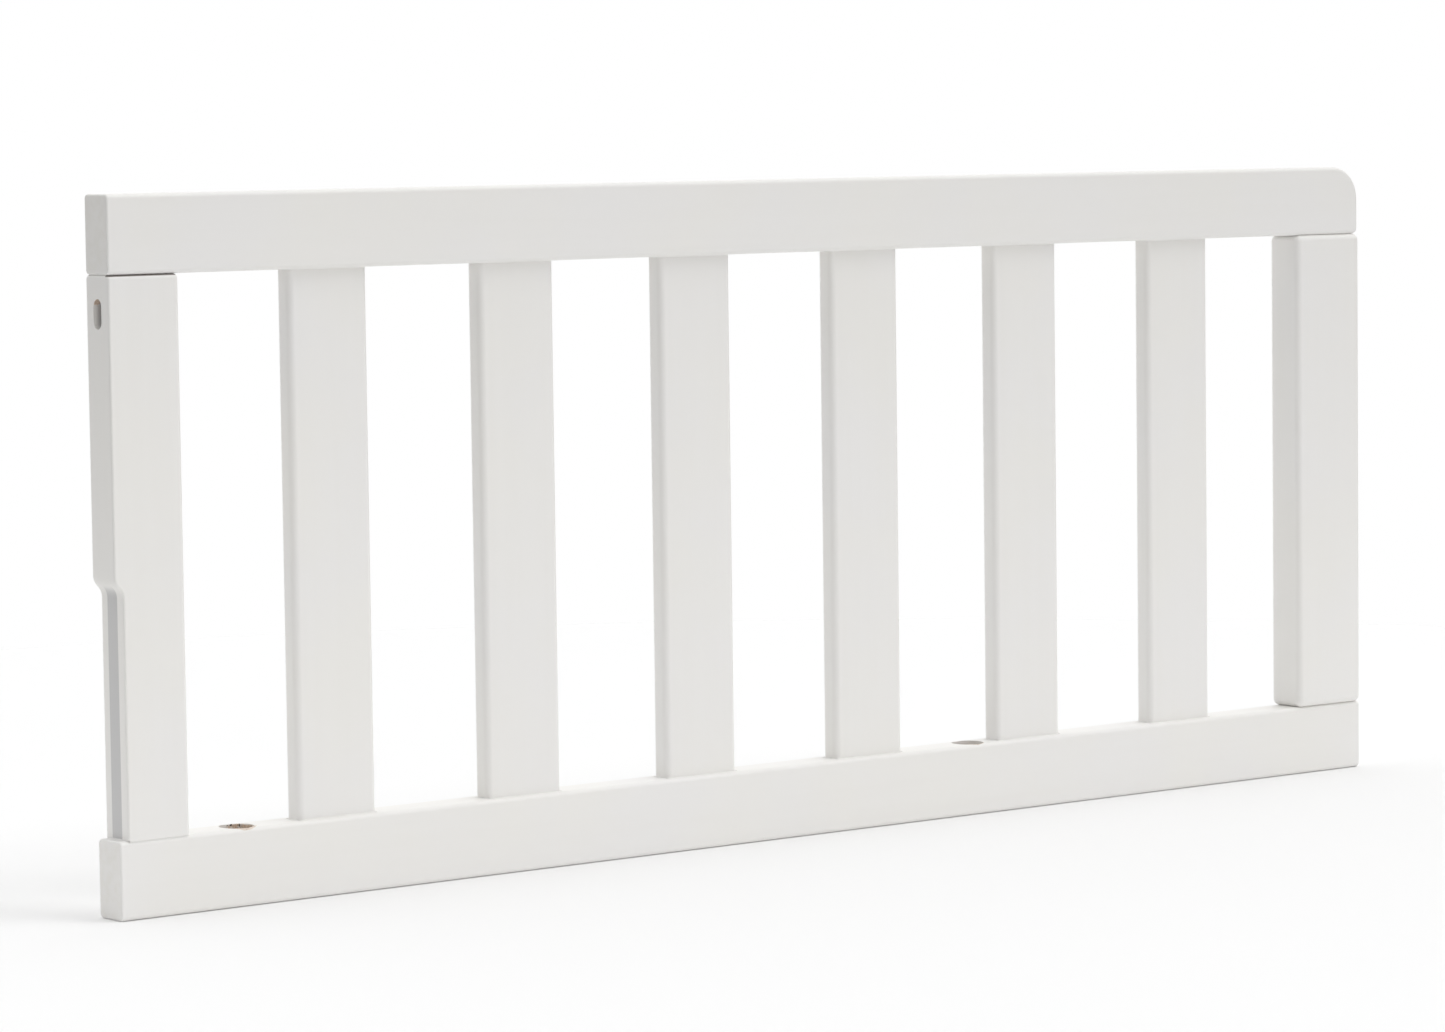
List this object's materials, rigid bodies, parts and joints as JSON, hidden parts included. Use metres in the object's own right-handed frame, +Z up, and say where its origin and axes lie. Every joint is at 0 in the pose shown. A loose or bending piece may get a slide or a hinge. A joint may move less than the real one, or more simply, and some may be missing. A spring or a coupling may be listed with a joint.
{
  "type": "toddler bed guardrail",
  "caption": "Painted wooden guardrail for a toddler bed: upright slats between rails, a stepped stile with a pin slot at one end, counterbored bolt holes down the lower rail.",
  "frame": {"origin": "middle of the length and thickness, on the surface that the lower rail stands on", "axes": "+X along the rails towards the plain end with the wide stile, +Z up, the front faces -Y"},
  "size_m": [0.721, 0.02, 0.2985],
  "materials": {
    "painted_wood": "satin",
    "bare_wood": "matte",
    "steel": "satin"
  },
  "bodies": {
    "root": {"top_rail": "painted_wood", "bottom_rail": "painted_wood", "left_stile": "painted_wood", "right_stile": "painted_wood", "slat_1": "painted_wood", "slat_2": "painted_wood", "slat_3": "painted_wood", "slat_4": "painted_wood", "slat_5": "painted_wood", "slat_6": "painted_wood", "dowel_bottom_left_1": "bare_wood", "dowel_bottom_left_2": "bare_wood", "dowel_bottom_right_1": "bare_wood", "dowel_bottom_right_2": "bare_wood", "dowel_top_left_1": "bare_wood", "dowel_top_left_2": "bare_wood", "dowel_top_right_1": "bare_wood", "dowel_top_right_2": "bare_wood", "bottom_rail_brads": "steel", "top_rail_brads": "steel"}
  },
  "joints": []
}
